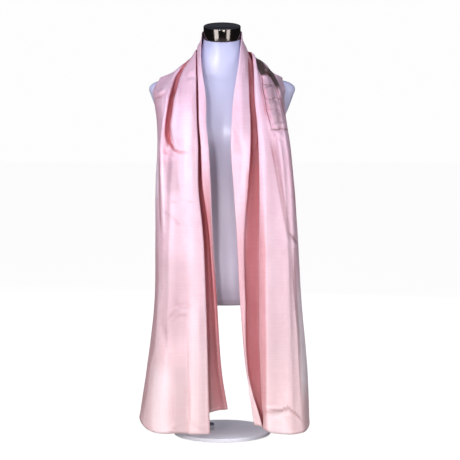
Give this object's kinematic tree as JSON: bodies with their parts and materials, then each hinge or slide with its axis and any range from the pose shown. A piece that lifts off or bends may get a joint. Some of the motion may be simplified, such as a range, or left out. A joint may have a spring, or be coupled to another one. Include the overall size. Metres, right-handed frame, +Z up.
{
  "type": "shawl on a limbless dress form",
  "caption": "Long satin shawl worn round the neck of a limbless dress form on a plain stand, both ends hanging down the front in soft lengthwise folds.",
  "frame": {"origin": "centre of the base plate's underside, on the surface it stands on", "axes": "+Z up along the dress form; the front of the form, where both ends of the shawl hang, faces -Y; +X is to the right as seen from the front"},
  "size_m": [0.4469, 0.3031, 1.0941],
  "materials": {
    "satin": "pale pink silk satin with a soft sheen and fine crosswise slubs",
    "form_white": "smooth white moulding, semi-gloss",
    "cap_metal": "dark polished metal",
    "stand_steel": "bright steel",
    "stand_white": "white lacquer, semi-gloss"
  },
  "bodies": {
    "root": {"shawl_left_tail": "satin", "shawl_neck_stretch": "satin", "shawl_right_tail": "satin", "form_torso": "form_white", "form_neck_cap": "cap_metal", "stand_socket": "stand_steel", "stand_pole": "stand_steel", "stand_flange": "stand_steel", "stand_base": "stand_white"}
  },
  "joints": []
}
